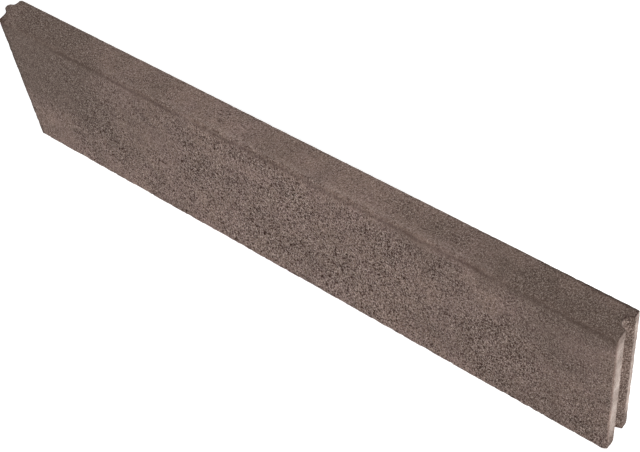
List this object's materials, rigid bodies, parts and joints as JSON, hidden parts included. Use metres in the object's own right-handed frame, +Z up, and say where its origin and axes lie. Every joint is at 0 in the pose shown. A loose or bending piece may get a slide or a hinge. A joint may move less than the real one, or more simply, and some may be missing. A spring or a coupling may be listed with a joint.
{
  "type": "concrete edging kerb stone",
  "caption": "Straight slab-like concrete edging kerb standing on its long edge, with a bevelled top arris, an upright rounded tongue on one end and a matching groove in the other.",
  "frame": {"origin": "middle of the bed, below the middle of the whole stone with its tongue", "axes": "+X along the stone from the tongue end to the groove end, +Y from the fair face to the back, +Z up from the bed"},
  "size_m": [1.01, 0.05, 0.25],
  "materials": {
    "concrete": "fine-grained dry-pressed concrete, brown through and through, matt and lightly pitted"
  },
  "bodies": {
    "root": {"kerb_stone": "concrete"}
  },
  "joints": []
}
